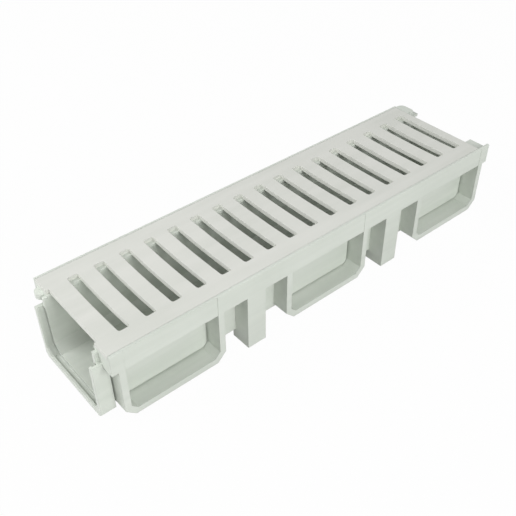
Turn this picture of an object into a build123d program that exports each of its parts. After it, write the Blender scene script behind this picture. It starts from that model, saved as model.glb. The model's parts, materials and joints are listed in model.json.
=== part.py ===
import os

from build123d import *

os.makedirs("parts", exist_ok=True)

# Drainage channel module: a moulded channel body and the slotted grate that lies in its rim.
# Millimetres, X along the channel, +Z up, ground at Z = 0, collar end at -X. X = 0 is halfway
# between the ends of the rim while it is modelled, and the middle of the whole part once exported.

# Channel body, overall
body_length = 500.0
body_width = 130.0
body_height = 88.0
rim_wall = 2.8
band_height = 23.0
edge_round = 0.8

# Trough
trough_width = 83.0
trough_wall = 4.0
floor_thickness = 3.0
floor_bevel = 9.5
under_rib = 3.0

# Seat of the grate
ledge_inset = 2.0
ledge_thickness = 3.0

# Side frames and legs
frame_width = 111.5
frame_count = 3
frame_end_gap = 6.25
frame_base = 5.0
frame_strip = 6.6
frame_chamfer = 10.0
panel_relief = 0.4
leg_width = 22.0
leg_wall = 2.8
leg_heel = 4.0

# Joint between two modules
collar_reach = 10.7
collar_length = 15.5
collar_rise = 4.0
collar_chamfer = 9.5
collar_skin = 3.0
collar_lip = 2.5
slot_gap = 4.5
flange_step = 1.5
flange_drop = 2.0
joint_clearance = 0.3

# Locating tongue and its pocket
tongue_radius = 6.5
tongue_reach = 6.0
tongue_thickness = 6.0
tongue_gap = 0.2
end_plate = 3.0
eye_length = 11.0
eye_corner = 7.0
eye_hole = 2.6

# Grate
grate_end_gap = 16.0
grate_thickness = 4.8
grate_clearance = 0.3
slot_count = 17
slot_length = 87.0
slot_width = 9.5
slot_corner = 2.4
slot_bow = 0.9
first_slot = 29.0
last_slot = 15.0
notch_width = 84.0
notch_depth = 3.1
slat_rib = 3.0
slat_rib_depth = 5.0

# Levels and faces that several features share
half_length = body_length / 2
half_width = body_width / 2
trough_half = trough_width / 2
wall_face = trough_half + trough_wall
ledge_level = body_height - grate_thickness
ledge_under = ledge_level - ledge_thickness
ledge_edge = trough_half - ledge_inset
skirt_inner = half_width - rim_wall
band_base = body_height - band_height
wall_base = frame_base + frame_strip
floor_level = wall_base + floor_thickness
collar_face = -half_length - collar_reach
collar_half = wall_face + flange_step + joint_clearance + collar_skin
collar_base = wall_base - flange_drop - joint_clearance - collar_skin
collar_top = band_base + collar_rise
trough_start = collar_face + collar_lip + slot_gap
trough_end = trough_start + body_length - joint_clearance
frame_pitch = (body_length - frame_width - 2 * frame_end_gap) / (frame_count - 1)
grate_length = body_length - grate_end_gap
slot_pitch = (grate_length - first_slot - last_slot) / (slot_count - 1)
to_centre = Pos(collar_reach / 2, 0, 0)


def box(x0, x1, y0, y1, z0, z1):
    return Pos((x0 + x1) / 2, (y0 + y1) / 2, (z0 + z1) / 2) * Box(x1 - x0, y1 - y0, z1 - z0)


def both_sides(shape):
    return shape + mirror(shape, about=Plane.XZ)


def along(section, x0, x1):
    # a section drawn in Y and Z, run along the channel
    return extrude(Plane.YZ.offset(x0) * section, amount=x1 - x0)


def rect(y0, y1, z0, z1):
    return Pos((y0 + y1) / 2, (z0 + z1) / 2) * Rectangle(y1 - y0, z1 - z0)


def channel_outline(half, base, top, corner):
    # outline of a trough that is open at the top, with cut lower corners
    points = [
        (-half, top),
        (-half, base + corner),
        (-half + corner, base),
        (half - corner, base),
        (half, base + corner),
        (half, top),
    ]
    return make_face(Polyline(*points, close=True))


def inner_bevel(bevel, inset):
    # cut corner of an outline that lies inside another one at an even distance
    return bevel - inset * (2 - 2**0.5)


# Trough: flat floor, bevelled corners of even thickness, and walls that run down to the frames' base.
# At the collar end the walls are lower, because they reach under the ledge of the module before it.
trough_outer = rect(-wall_face, wall_face, wall_base, ledge_level)
trough_space = channel_outline(trough_half, floor_level, body_height, floor_bevel)
bevel_under = floor_bevel - floor_thickness * (2**0.5 - 1)
hollow_corner = [
    (trough_half - bevel_under, wall_base),
    (trough_half, wall_base),
    (trough_half, wall_base + bevel_under),
]
corner_space = make_face(Polyline(*hollow_corner, close=True))
corner_space += mirror(corner_space, about=Plane.YZ)
trough = along(trough_outer - trough_space - corner_space, trough_start, trough_end)
lowered = rect(-wall_face, wall_face, ledge_under - joint_clearance, ledge_level)
trough -= along(lowered, trough_start, -half_length)

# Rim: outer band with a rounded lip, and the ledge that carries the grate
band = rect(skirt_inner, half_width, band_base, body_height)
band = fillet(band.vertices().sort_by(Axis.X)[2:], edge_round)
ledge = rect(ledge_edge, skirt_inner, ledge_under, ledge_level)
rim = along(band + ledge, -half_length, half_length)
rim_ends = box(-half_length, -half_length + end_plate, wall_face, skirt_inner, band_base, ledge_under)
rim = both_sides(rim + rim_ends)

# One side frame: a strip bent into a U round the panel, standing out to the face of the band
frame_outer = Pos(0, (frame_base + ledge_under) / 2) * Rectangle(frame_width, ledge_under - frame_base)
frame_outer = chamfer(frame_outer.vertices().sort_by(Axis.Y)[:2], frame_chamfer)
inner_height = ledge_under - wall_base
frame_inner = Pos(0, (wall_base + ledge_under) / 2) * Rectangle(frame_width - 2 * frame_strip, inner_height)
frame_inner = chamfer(frame_inner.vertices().sort_by(Axis.Y)[:2], inner_bevel(frame_chamfer, frame_strip))
frame_depth = half_width - trough_half
frame = extrude(Plane.XZ.offset(trough_half) * (frame_outer - frame_inner), amount=frame_depth)
frame -= box(-frame_width, frame_width, -wall_face, -trough_half, wall_base, ledge_level)
frame_places = [(i - (frame_count - 1) / 2) * frame_pitch for i in range(frame_count)]
frames = both_sides(Part() + [Pos(x, 0, 0) * frame for x in frame_places])

# Legs halfway between the frames, cored from below
leg_half = leg_width / 2
leg = box(-leg_half, leg_half, -half_width, -wall_face, 0, ledge_under)
leg += box(-leg_half, leg_half, -wall_face, -wall_face + leg_heel, 0, wall_base)
core_half = leg_half - leg_wall
leg -= box(-core_half, core_half, -skirt_inner, -wall_face, 0, ledge_under)
leg -= box(-core_half, core_half, -wall_face, -wall_face + leg_heel - leg_wall, 0, wall_base - leg_wall)
leg_places = [(a + b) / 2 for a, b in zip(frame_places, frame_places[1:])]
legs = both_sides(Part() + [Pos(x, 0, 0) * leg for x in leg_places])

# Cross ribs below the floor, at the ends of each frame's flat foot
rib_reach = frame_width / 2 - frame_chamfer - under_rib / 2
rib_places = [x + side * rib_reach for x in frame_places for side in (-1, 1)]
rib_bar = box(-under_rib / 2, under_rib / 2, -trough_half, trough_half, frame_base, wall_base)
under_ribs = Part() + [Pos(x, 0, 0) * rib_bar for x in rib_places]

# Collar: a skin round the end of the trough, with a slot behind its lip that is open above
collar_outer = channel_outline(collar_half, collar_base, collar_top, collar_chamfer)
slot_half = collar_half - collar_skin
slot_base = collar_base + collar_skin
slot_bevel = inner_bevel(collar_chamfer, collar_skin)
slot_space = channel_outline(slot_half, slot_base, body_height, slot_bevel)
lip_half = wall_face + joint_clearance
lip_base = wall_base - joint_clearance
lip_bevel = inner_bevel(collar_chamfer, collar_half - lip_half)
lip_space = channel_outline(lip_half, lip_base, body_height, lip_bevel)
collar = along(collar_outer - lip_space, collar_face, collar_face + collar_lip)
collar += along(collar_outer - slot_space, collar_face + collar_lip, trough_start)
collar += along(collar_outer - trough_space, trough_start, collar_face + collar_length)

# Spigot at the other end, with a flange that drops into the slot of the next module from above
flange_half = slot_half - joint_clearance
flange_base = slot_base + joint_clearance
flange_outer = channel_outline(flange_half, flange_base, collar_top, slot_bevel)
flange_start = trough_end + 2 * joint_clearance - slot_gap
flange = along(flange_outer - trough_space, flange_start, trough_end)
spigot_outer = channel_outline(wall_face, wall_base, ledge_level, inner_bevel(lip_bevel, joint_clearance))
spigot_start = collar_face + body_length - joint_clearance
spigot = along(spigot_outer - trough_space, spigot_start, trough_end)

# Room for the collar of the next module in the last frame
relief_half = collar_half + joint_clearance
relief = box(spigot_start, half_length, -relief_half, relief_half, 0, collar_top + joint_clearance)
relief -= along(spigot_outer, spigot_start, half_length)

body = trough + rim + frames + legs + under_ribs + collar - relief + spigot + flange

# Faint step of the band inside each frame
relief_width = frame_width - 2 * frame_strip
for x in frame_places:
    step = rect(x - relief_width / 2, x + relief_width / 2, band_base, body_height)
    body -= both_sides(extrude(Plane.XZ.offset(half_width) * step, amount=-panel_relief))

# Locating tongue at the collar end, on the far side
tongue_y = (wall_face + skirt_inner) / 2
tongue_shape = Pos(-half_length - tongue_reach + tongue_radius, tongue_y) * Circle(tongue_radius)
tongue_shape += Pos(-half_length + end_plate / 2, tongue_y) * Rectangle(end_plate, 2 * tongue_radius)
tongue = extrude(Plane.XY.offset(ledge_under - tongue_gap - tongue_thickness) * tongue_shape, amount=tongue_thickness)
body += tongue

# Eye that closes the rim beside the end of the grate, on the far side
eye_start = -half_length + grate_length + grate_clearance
eye_width = skirt_inner - ledge_edge
eye_centre = (eye_start + eye_length / 2, (skirt_inner + ledge_edge) / 2)
eye_shape = Pos(*eye_centre) * Rectangle(eye_length, eye_width)
eye_shape = fillet(eye_shape.vertices().sort_by(Axis.X)[2:].sort_by(Axis.Y)[:1], eye_corner)
eye_shape -= Pos(eye_start + eye_hole, ledge_edge + eye_hole) * Circle(eye_hole / 2)
body += extrude(Plane.XY.offset(ledge_level) * eye_shape, amount=grate_thickness)

export_step(to_centre * body, "parts/channel_body.step")

# Grate: a plate with bowed slots, stiffened by a rib under each slat
grate_width = 2 * (skirt_inner - grate_clearance)
grate_start = -half_length
plate_shape = Pos(grate_start + grate_length / 2, 0) * Rectangle(grate_length, grate_width)
plate_shape -= Pos(grate_start + notch_depth / 2, 0) * Rectangle(notch_depth, notch_width)
w, h = slot_width / 2, slot_length / 2
slot_sides = [
    ThreePointArc((-w, -h), (-w - slot_bow, 0), (-w, h)),
    Line((-w, h), (w, h)),
    ThreePointArc((w, h), (w - slot_bow, 0), (w, -h)),
    Line((w, -h), (-w, -h)),
]
slot = make_face(Curve() + slot_sides)
slot = fillet(slot.vertices(), slot_corner)
slot_places = [grate_start + first_slot + i * slot_pitch for i in range(slot_count)]
plate_shape -= [Pos(x, 0) * slot for x in slot_places]
grate = extrude(Plane.XY.offset(ledge_level) * plate_shape, amount=grate_thickness)

rib_half = ledge_edge - grate_clearance
rib_side = [
    (-rib_half, ledge_level),
    (-rib_half, ledge_level - slat_rib_depth / 2),
    (-rib_half + slat_rib_depth, ledge_level - slat_rib_depth),
    (rib_half - slat_rib_depth, ledge_level - slat_rib_depth),
    (rib_half, ledge_level - slat_rib_depth / 2),
    (rib_half, ledge_level),
]
slat_bar = along(make_face(Polyline(*rib_side, close=True)), -slat_rib / 2, slat_rib / 2)
grate += [Pos(x + slot_pitch / 2, 0, 0) * slat_bar for x in slot_places[:-1]]

export_step(to_centre * grate, "parts/grate.step")
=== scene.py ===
import json
import math
import bpy
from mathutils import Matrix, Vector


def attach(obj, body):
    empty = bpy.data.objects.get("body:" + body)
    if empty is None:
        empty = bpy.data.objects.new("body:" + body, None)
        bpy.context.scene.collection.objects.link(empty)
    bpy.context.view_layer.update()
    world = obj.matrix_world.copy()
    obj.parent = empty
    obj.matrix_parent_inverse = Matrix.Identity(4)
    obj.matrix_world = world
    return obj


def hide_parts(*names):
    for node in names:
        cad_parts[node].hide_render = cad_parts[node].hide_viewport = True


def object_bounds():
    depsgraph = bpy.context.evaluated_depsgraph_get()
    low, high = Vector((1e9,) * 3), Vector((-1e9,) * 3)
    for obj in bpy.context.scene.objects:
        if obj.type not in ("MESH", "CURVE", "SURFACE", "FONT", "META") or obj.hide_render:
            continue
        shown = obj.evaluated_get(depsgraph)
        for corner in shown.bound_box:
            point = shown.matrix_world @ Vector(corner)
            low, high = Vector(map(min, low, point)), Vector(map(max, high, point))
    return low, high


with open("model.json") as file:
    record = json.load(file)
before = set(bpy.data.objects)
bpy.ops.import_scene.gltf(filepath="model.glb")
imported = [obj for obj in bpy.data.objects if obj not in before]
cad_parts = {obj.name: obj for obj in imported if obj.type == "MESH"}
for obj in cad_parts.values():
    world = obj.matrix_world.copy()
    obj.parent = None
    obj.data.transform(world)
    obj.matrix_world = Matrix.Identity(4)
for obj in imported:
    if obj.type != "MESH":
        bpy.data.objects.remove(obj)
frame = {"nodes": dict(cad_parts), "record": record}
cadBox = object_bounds()
channelBody = frame["nodes"]["channel_body"]
grate = frame["nodes"]["grate"]
print("frame loaded:", ", ".join(sorted(frame["nodes"])))

metre = 1000              # mm
samePoint = 0.001         # mm, the CAD nodes' triangles meet within this
smoothBelow = 30          # degrees, edges flatter than this are shaded as one surface


def selectOnly(thing):
    bpy.ops.object.select_all(action="DESELECT")
    thing.select_set(True)
    bpy.context.view_layer.objects.active = thing


def mergePoints(piece, reach):
    # joins the points that lie closer together than the reach in mm
    selectOnly(piece)
    bpy.ops.object.mode_set(mode="EDIT")
    bpy.ops.mesh.select_all(action="SELECT")
    bpy.ops.mesh.remove_doubles(threshold=reach / metre)
    bpy.ops.object.mode_set(mode="OBJECT")


def mergedCopy(node, name):
    # a copy of a CAD node with its loose triangles joined, ready to be worked on
    piece = bpy.data.objects.new(name, node.data.copy())
    bpy.context.collection.objects.link(piece)
    mergePoints(piece, samePoint)
    bpy.ops.mesh.customdata_custom_splitnormals_clear()
    return piece


def block(low, high, corners=(), cut=0.0, steps=1):
    # a block between two points in mm. The corners are edges, each given by its middle,
    # from -1 to 1 each way. One step cuts them flat and more steps round them
    centre = [(a + b) / 2 / metre for a, b in zip(low, high)]
    half = [(b - a) / 2 / metre for a, b in zip(low, high)]
    bpy.ops.object.select_all(action="DESELECT")
    bpy.ops.mesh.primitive_cube_add(size=2, location=centre, scale=half)
    bpy.ops.object.transform_apply(location=True, rotation=True, scale=True)
    piece = bpy.context.object
    if corners:
        bpy.context.tool_settings.mesh_select_mode = (False, True, False)
        bpy.ops.object.mode_set(mode="EDIT")
        bpy.ops.mesh.select_all(action="DESELECT")
        bpy.ops.object.mode_set(mode="OBJECT")
        for edge in piece.data.edges:
            first, last = [piece.data.vertices[v].co for v in edge.vertices]
            middle = (first + last) / 2
            edge.select = tuple(round((m - c) / h) for m, c, h in zip(middle, centre, half)) in corners
        bpy.ops.object.mode_set(mode="EDIT")
        bpy.ops.mesh.bevel(offset=cut / metre, segments=steps)
        bpy.ops.object.mode_set(mode="OBJECT")
    return piece


def combine(piece, tool, operation):
    # joins the tool to the piece or cuts it away, and throws the tool away
    selectOnly(piece)
    change = piece.modifiers.new("change", "BOOLEAN")
    change.operation = operation
    change.object = tool
    bpy.ops.object.modifier_apply(modifier=change.name)
    bpy.data.objects.remove(tool)


def moveChosen(piece, chosen, step):
    # moves the points that a test picks by a step in mm
    bpy.context.tool_settings.mesh_select_mode = (True, False, False)
    selectOnly(piece)
    bpy.ops.object.mode_set(mode="EDIT")
    bpy.ops.mesh.select_all(action="DESELECT")
    bpy.ops.object.mode_set(mode="OBJECT")
    for vertex in piece.data.vertices:
        vertex.select = chosen([c * metre for c in vertex.co])
    bpy.ops.object.mode_set(mode="EDIT")
    bpy.ops.transform.translate(value=[s / metre for s in step])
    bpy.ops.object.mode_set(mode="OBJECT")


# The body's finer forms, which are worked into a copy of its CAD node. Millimetres
bodyForms = {
    "wallFace": 45.5,         # outer face of the trough wall, which is the panel inside each side frame
    "pocketHalf": 49.15,      # half the clear length inside a frame
    "pocketLow": 11.6,
    "pocketHigh": 80.0,
    "pocketCut": 6.13,        # its cut lower corners
    "grooveWidth": 1.8,       # crevice round the panel, where the tool's insert met the frame
    "grooveDepth": 2.2,
    "panelRound": 6.0,        # rounded lower corners of the panel
    "panelSteps": 4,
    "endWallNear": 249.25,    # thin wall that closes the flange end, cut out where a module follows
    "endWallFar": 251.25,
    "endWallHalf": 42.0,
    "endWallLow": 14.1,
    "endWallHigh": 68.8,
    "lipEnd": 241.15,         # the far lip of the rim ends here, beside the grate's end
    "lipLow": 83.25,
    "lipFace": 62.2,
    "earEnd": 250.65,         # what goes on past the lip is an ear with a rounded corner
    "earRound": 7.0,
    "earSteps": 5,
    "collarEnd": -239.5,      # the collar lies before this
    "collarHalf": 50.3,
    "collarBase": 6.3,
    "collarCut": 9.5,         # cut lower corners of the collar
    "collarCutLeft": 4.0,     # what the sharper corner of the real collar leaves of them
    "collarLower": 1.0,
    "cornerReach": 0.1,       # the points of a corner lie closer to it than this
    "slotStart": -249.5,      # the joint slot goes on into the trough's end from here
    "slotBottom": -241.0,
    "slotHalf": 47.0,
    "slotBase": 9.6,
    "slotTop": 67.5,
    "slotCut": 7.7,
    "rimHalf": 43.4,          # thin rim of the trough that is left inside the slot
    "rimBase": 13.2,
    "rimCut": 10.6,
    "overcut": 0.05,          # lets a cut pass its neighbour instead of just meeting it
    "beyond": 5.0,            # how far a tool stands out of the plastic
    "sliver": 0.03,           # points closer than this after the cuts are one
}
lowerCorners = ((-1, 0, -1), (1, 0, -1))      # of a block that is cut into a side
lowerSides = ((0, -1, -1), (0, 1, -1))        # of a block that is cut into an end
outerCorner = ((1, 1, 0),)


def panelGroove(form, middle, side):
    # the ring between the frame and its panel, for one frame on one side
    outside, inside = sorted([side * (form["wallFace"] + form["overcut"]),
                              side * (form["wallFace"] - form["grooveDepth"])])
    reach = form["pocketHalf"] + form["overcut"]
    ring = block((middle - reach, outside, form["pocketLow"] - form["overcut"]),
                 (middle + reach, inside, form["pocketHigh"]), lowerCorners, form["pocketCut"])
    panel = form["pocketHalf"] - form["grooveWidth"]
    kept = block((middle - panel, outside - form["beyond"], form["pocketLow"] + form["grooveWidth"]),
                 (middle + panel, inside + form["beyond"], form["pocketHigh"] + form["beyond"]),
                 lowerCorners, form["panelRound"], form["panelSteps"])
    combine(ring, kept, "DIFFERENCE")
    return ring


def sharperCollar(body, form):
    # brings the cut lower corners of the collar out, and its base down a little
    out = form["collarCut"] - form["collarCutLeft"]

    def onCorner(point, side, up):
        across = form["collarHalf"] - (0 if up else form["collarCut"])
        height = form["collarBase"] + (form["collarCut"] if up else 0)
        apart = max(abs(side * point[1] - across), abs(point[2] - height))
        return point[0] < form["collarEnd"] and apart < form["cornerReach"]

    for side in (-1, 1):
        moveChosen(body, lambda p: onCorner(p, side, True), (0, 0, -out - form["collarLower"]))
        moveChosen(body, lambda p: onCorner(p, side, False), (0, side * out, -form["collarLower"]))


def deeperSlot(form):
    # the U-shaped crevice behind the collar's lip, which leaves the trough a thin rim
    ring = block((form["slotStart"], -form["slotHalf"], form["slotBase"]),
                 (form["slotBottom"], form["slotHalf"], form["slotTop"]), lowerSides, form["slotCut"])
    kept = block((form["slotStart"] - form["beyond"], -form["rimHalf"], form["rimBase"]),
                 (form["slotBottom"] + form["beyond"], form["rimHalf"], form["slotTop"] + form["beyond"]),
                 lowerSides, form["rimCut"])
    combine(ring, kept, "DIFFERENCE")
    return ring


def endWall(form):
    return block((form["endWallNear"], -form["endWallHalf"], form["endWallLow"]),
                 (form["endWallFar"], form["endWallHalf"], form["endWallHigh"]))


def lipPastGrate(form):
    # what is cut from the far lip past the grate's end, round the ear that stays
    length, width, height = [c * metre for c in cadBox[1]]
    lip = block((form["lipEnd"], form["lipFace"] - form["earRound"], form["lipLow"]),
                (length + form["beyond"], width + form["beyond"], height + form["beyond"]))
    ear = block((form["lipEnd"] - form["beyond"], form["lipFace"] - 2 * form["earRound"],
                 form["lipLow"] - form["beyond"]),
                (form["earEnd"], form["lipFace"], height + 2 * form["beyond"]),
                outerCorner, form["earRound"], form["earSteps"])
    combine(lip, ear, "DIFFERENCE")
    return lip


def detailedBody(form):
    body = mergedCopy(channelBody, "channelMoulding")
    sharperCollar(body, form)
    combine(body, deeperSlot(form), "DIFFERENCE")
    openings = frame["record"]["physics"]["openings"]
    for low, high in [o["box_m"] for o in openings if o["name"].startswith("frame_pocket")]:
        middle = (low[0] + high[0]) / 2 * metre
        side = math.copysign(1, low[1])
        combine(body, panelGroove(form, middle, side), "DIFFERENCE")
    combine(body, endWall(form), "UNION")
    combine(body, lipPastGrate(form), "DIFFERENCE")
    mergePoints(body, form["sliver"])
    return body


# The grate's slots, widened on the side of the collar. Millimetres
grateForms = {
    "firstSlot": -215.65,
    "slotPitch": 27.5,
    "slotCount": 17,
    "slotReach": 8.0,         # farther from a slot's middle than its edge and nearer than the ribs
    "slotEnd": 45.0,          # the slots end before this
    "cornerStart": 40.0,      # the corners lie beyond this
    "wider": 1.5,
    "longer": 0.75,           # at each end
}


def detailedGrate(form):
    piece = mergedCopy(grate, "grateMoulding")
    middles = [form["firstSlot"] + i * form["slotPitch"] for i in range(form["slotCount"])]

    def inSlot(point):
        near = min(abs(point[0] - middle) for middle in middles)
        return near < form["slotReach"] and abs(point[1]) < form["slotEnd"]

    def behind(point):
        return any(0 < middle - point[0] < form["slotReach"] for middle in middles)

    moveChosen(piece, lambda p: inSlot(p) and p[1] > form["cornerStart"], (0, form["longer"], 0))
    moveChosen(piece, lambda p: inSlot(p) and p[1] < -form["cornerStart"], (0, -form["longer"], 0))
    moveChosen(piece, lambda p: inSlot(p) and behind(p), (-form["wider"], 0, 0))
    return piece


bodyPiece = detailedBody(bodyForms)
gratePiece = detailedGrate(grateForms)
print("forms worked in:", len(bodyPiece.data.polygons), "and", len(gratePiece.data.polygons), "faces")


def linearColour(hexColour):
    # sRGB hex, as a colour picker shows it, to the linear values that the sockets take
    parts = [int(hexColour[i:i + 2], 16) / 255 for i in (1, 3, 5)]
    return [p / 12.92 if p <= 0.04045 else ((p + 0.055) / 1.055) ** 2.4 for p in parts] + [1.0]


def addNode(tree, kind, settings={}, values={}, links={}):
    node = tree.nodes.new(kind)
    for name, value in settings.items():
        setattr(node, name, value)
    for socket, value in values.items():
        node.inputs[socket].default_value = value
    for socket, source in links.items():
        tree.links.new(source, node.inputs[socket])
    return node


def emptyMaterial(name):
    material = bpy.data.materials.new(name)
    material.use_nodes = True
    material.node_tree.nodes.clear()
    return material


# What both plastics share
polypropylene = {
    "refraction": 1.49,
    "cloudDetail": 3.0,
    "flowDetail": 2.0,
    "toneFrom": 0.12,         # clouds times flow marks, from the plain colour
    "toneTo": 0.38,           # to the duller one
    "grainDetail": 1.0,
    "glossSpread": 0.05,      # the grain's hollows and tops differ from the roughness by this
    "edgeSamples": 6,
}

# Channel body: polypropylene, injection moulded in a spark-eroded tool, so it is satin and softly grained
channelLook = {
    "colour": "#d6dbd3",
    "cloud": "#cdd3ca",       # the slightly duller tone where the melt cooled slower
    "roughness": 0.46,
    "cloudSize": 85.0,        # mm, patches of tone
    "flowLength": 140.0,      # mm, flow marks along the channel
    "flowWidth": 9.0,         # mm
    "grainSize": 2.2,         # mm, really about 0.3 mm, drawn coarser so that it shows
    "grainDepth": 0.012,      # mm
    "edgeRadius": 0.55,       # mm, every moulded edge is broken
}

# Grate: the same plastic in a lighter, more neutral grey. The flat of its tool polished it, so it shines more
grateLook = {
    "colour": "#dbdcd6",
    "cloud": "#d3d5ce",
    "roughness": 0.42,
    "cloudSize": 120.0,
    "flowLength": 90.0,
    "flowWidth": 12.0,
    "grainSize": 1.8,
    "grainDepth": 0.01,
    "edgeRadius": 0.6,
}


def mouldedPolypropylene(name, look, plastic):
    material = emptyMaterial(name)
    tree = material.node_tree
    place = addNode(tree, "ShaderNodeTexCoord").outputs["Object"]
    clouds = addNode(tree, "ShaderNodeTexNoise", {},
                     {"Scale": metre / look["cloudSize"], "Detail": plastic["cloudDetail"]},
                     {"Vector": place})
    stretch = [metre / look["flowLength"], metre / look["flowWidth"], metre / look["flowWidth"]]
    along = addNode(tree, "ShaderNodeMapping", {}, {"Scale": stretch}, {"Vector": place})
    flow = addNode(tree, "ShaderNodeTexNoise", {}, {"Scale": 1.0, "Detail": plastic["flowDetail"]},
                   {"Vector": along.outputs["Vector"]})
    tone = addNode(tree, "ShaderNodeMath", {"operation": "MULTIPLY"}, {},
                   {0: clouds.outputs["Fac"], 1: flow.outputs["Fac"]})
    spread = addNode(tree, "ShaderNodeMapRange", {},
                     {"From Min": plastic["toneFrom"], "From Max": plastic["toneTo"]},
                     {"Value": tone.outputs[0]})
    colour = addNode(tree, "ShaderNodeMix", {"data_type": "RGBA"},
                     {6: linearColour(look["colour"]), 7: linearColour(look["cloud"])},
                     {0: spread.outputs[0]})
    grain = addNode(tree, "ShaderNodeTexNoise", {},
                    {"Scale": metre / look["grainSize"], "Detail": plastic["grainDetail"]},
                    {"Vector": place})
    gloss = addNode(tree, "ShaderNodeMapRange", {},
                    {"To Min": look["roughness"] - plastic["glossSpread"],
                     "To Max": look["roughness"] + plastic["glossSpread"]},
                    {"Value": grain.outputs["Fac"]})
    edge = addNode(tree, "ShaderNodeBevel", {"samples": plastic["edgeSamples"]},
                   {"Radius": look["edgeRadius"] / metre})
    bump = addNode(tree, "ShaderNodeBump", {}, {"Distance": look["grainDepth"] / metre},
                   {"Height": grain.outputs["Fac"], "Normal": edge.outputs["Normal"]})
    surface = addNode(tree, "ShaderNodeBsdfPrincipled", {}, {"IOR": plastic["refraction"]},
                      {"Base Color": colour.outputs[2], "Roughness": gloss.outputs[0],
                       "Normal": bump.outputs["Normal"]})
    addNode(tree, "ShaderNodeOutputMaterial", {}, {}, {"Surface": surface.outputs["BSDF"]})
    return material


def finishPiece(piece, material, node):
    selectOnly(piece)
    bpy.ops.object.shade_smooth_by_angle(angle=math.radians(smoothBelow))
    piece.data.materials.clear()
    piece.data.materials.append(material)
    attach(piece, "root")
    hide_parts(node)


channelPlastic = mouldedPolypropylene("channelPolypropylene", channelLook, polypropylene)
finishPiece(bodyPiece, channelPlastic, "channel_body")
gratePlastic = mouldedPolypropylene("gratePolypropylene", grateLook, polypropylene)
finishPiece(gratePiece, gratePlastic, "grate")
print("plastics on:", bodyPiece.name, "and", gratePiece.name)

# Studio: a pale floor that the camera sees as white, and dim light from all round
studioLook = {
    "white": "#ffffff",
    "floor": "#c8c8c6",       # the tone that the floor throws back at the object
    "floorSize": 12.0,        # m
    "floorWhite": 0.98,       # share of plain white that the camera sees, the rest keeps the shadow
    "skyLight": 0.38,
    "skySeen": 1.0,           # what the camera sees of it, where 1 is white
}

# A broad lamp before the near long side, low enough to reach the panels under the rim. Metres and watts
frontLamp = {"place": (-0.25, -1.6, 0.95), "aim": (0.0, 0.0, 0.04), "size": 1.1, "power": 21.5}

# A second one past the collar end on the far side, which lights the grate and shines into the trough
backLamp = {"place": (-1.3, 0.75, 1.0), "aim": (-0.1, 0.0, 0.04), "size": 0.9, "power": 18.5}


def whiteForCamera(tree):
    # 1 on rays from the camera, a mirror or glass, and 0 on those that light the object
    ray = addNode(tree, "ShaderNodeLightPath")
    seen = addNode(tree, "ShaderNodeMath", {"operation": "ADD"}, {},
                   {0: ray.outputs["Is Camera Ray"], 1: ray.outputs["Is Glossy Ray"]})
    return addNode(tree, "ShaderNodeMath", {"operation": "ADD", "use_clamp": True}, {},
                   {0: seen.outputs[0], 1: ray.outputs["Is Transmission Ray"]}).outputs[0]


def whiteFloor(look):
    # matt paper, so it shows a soft shadow and no shine
    bpy.ops.object.select_all(action="DESELECT")
    bpy.ops.mesh.primitive_plane_add(size=look["floorSize"], location=(0, 0, 0))
    floor = bpy.context.object
    floor.name = "studioFloor"
    material = emptyMaterial("whitePaper")
    tree = material.node_tree
    share = addNode(tree, "ShaderNodeMath", {"operation": "MULTIPLY"}, {1: look["floorWhite"]},
                    {0: whiteForCamera(tree)})
    paper = addNode(tree, "ShaderNodeBsdfDiffuse", {}, {"Color": linearColour(look["floor"])})
    white = addNode(tree, "ShaderNodeEmission", {}, {"Color": linearColour(look["white"]), "Strength": 1.0})
    both = addNode(tree, "ShaderNodeMixShader", {}, {},
                   {0: share.outputs[0], 1: paper.outputs[0], 2: white.outputs[0]})
    addNode(tree, "ShaderNodeOutputMaterial", {}, {}, {"Surface": both.outputs[0]})
    floor.data.materials.append(material)


def softSky(look):
    world = bpy.data.worlds.new("softSky")
    bpy.context.scene.world = world
    world.use_nodes = True
    tree = world.node_tree
    tree.nodes.clear()
    strength = addNode(tree, "ShaderNodeMapRange", {},
                       {"To Min": look["skyLight"], "To Max": look["skySeen"]},
                       {"Value": whiteForCamera(tree)})
    sky = addNode(tree, "ShaderNodeBackground", {}, {"Color": linearColour(look["white"])},
                  {"Strength": strength.outputs[0]})
    addNode(tree, "ShaderNodeOutputWorld", {}, {}, {"Surface": sky.outputs[0]})


def aim(thing, target):
    direction = [t - p for t, p in zip(target, thing.location)]
    flat = math.hypot(direction[0], direction[1])
    thing.rotation_euler = (math.atan2(flat, -direction[2]), 0, math.atan2(-direction[0], direction[1]))


def softLamp(name, look):
    bpy.ops.object.light_add(type="AREA", location=look["place"])
    lamp = bpy.context.object
    lamp.name = name
    lamp.data.size = look["size"]
    lamp.data.energy = look["power"]
    aim(lamp, look["aim"])


whiteFloor(studioLook)
softSky(studioLook)
softLamp("frontLamp", frontLamp)
softLamp("backLamp", backLamp)
print("studio ready")

# Camera: above the collar end's near corner, as the photograph was taken
cameraLook = {
    "place": (-0.41639, -0.46097, 0.54191),     # m
    "turn": (49.882, 0.414, -40.129),           # degrees
    "lens": 52.647,                             # mm
    "sensor": 36.0,                             # mm
}


def photoCamera(look):
    turn = [math.radians(a) for a in look["turn"]]
    bpy.ops.object.camera_add(location=look["place"], rotation=turn)
    camera = bpy.context.object
    camera.name = "photoCamera"
    camera.data.lens = look["lens"]
    camera.data.sensor_width = look["sensor"]
    bpy.context.scene.camera = camera


photoCamera(cameraLook)
bpy.context.scene.view_settings.view_transform = "Standard"
print("camera set")
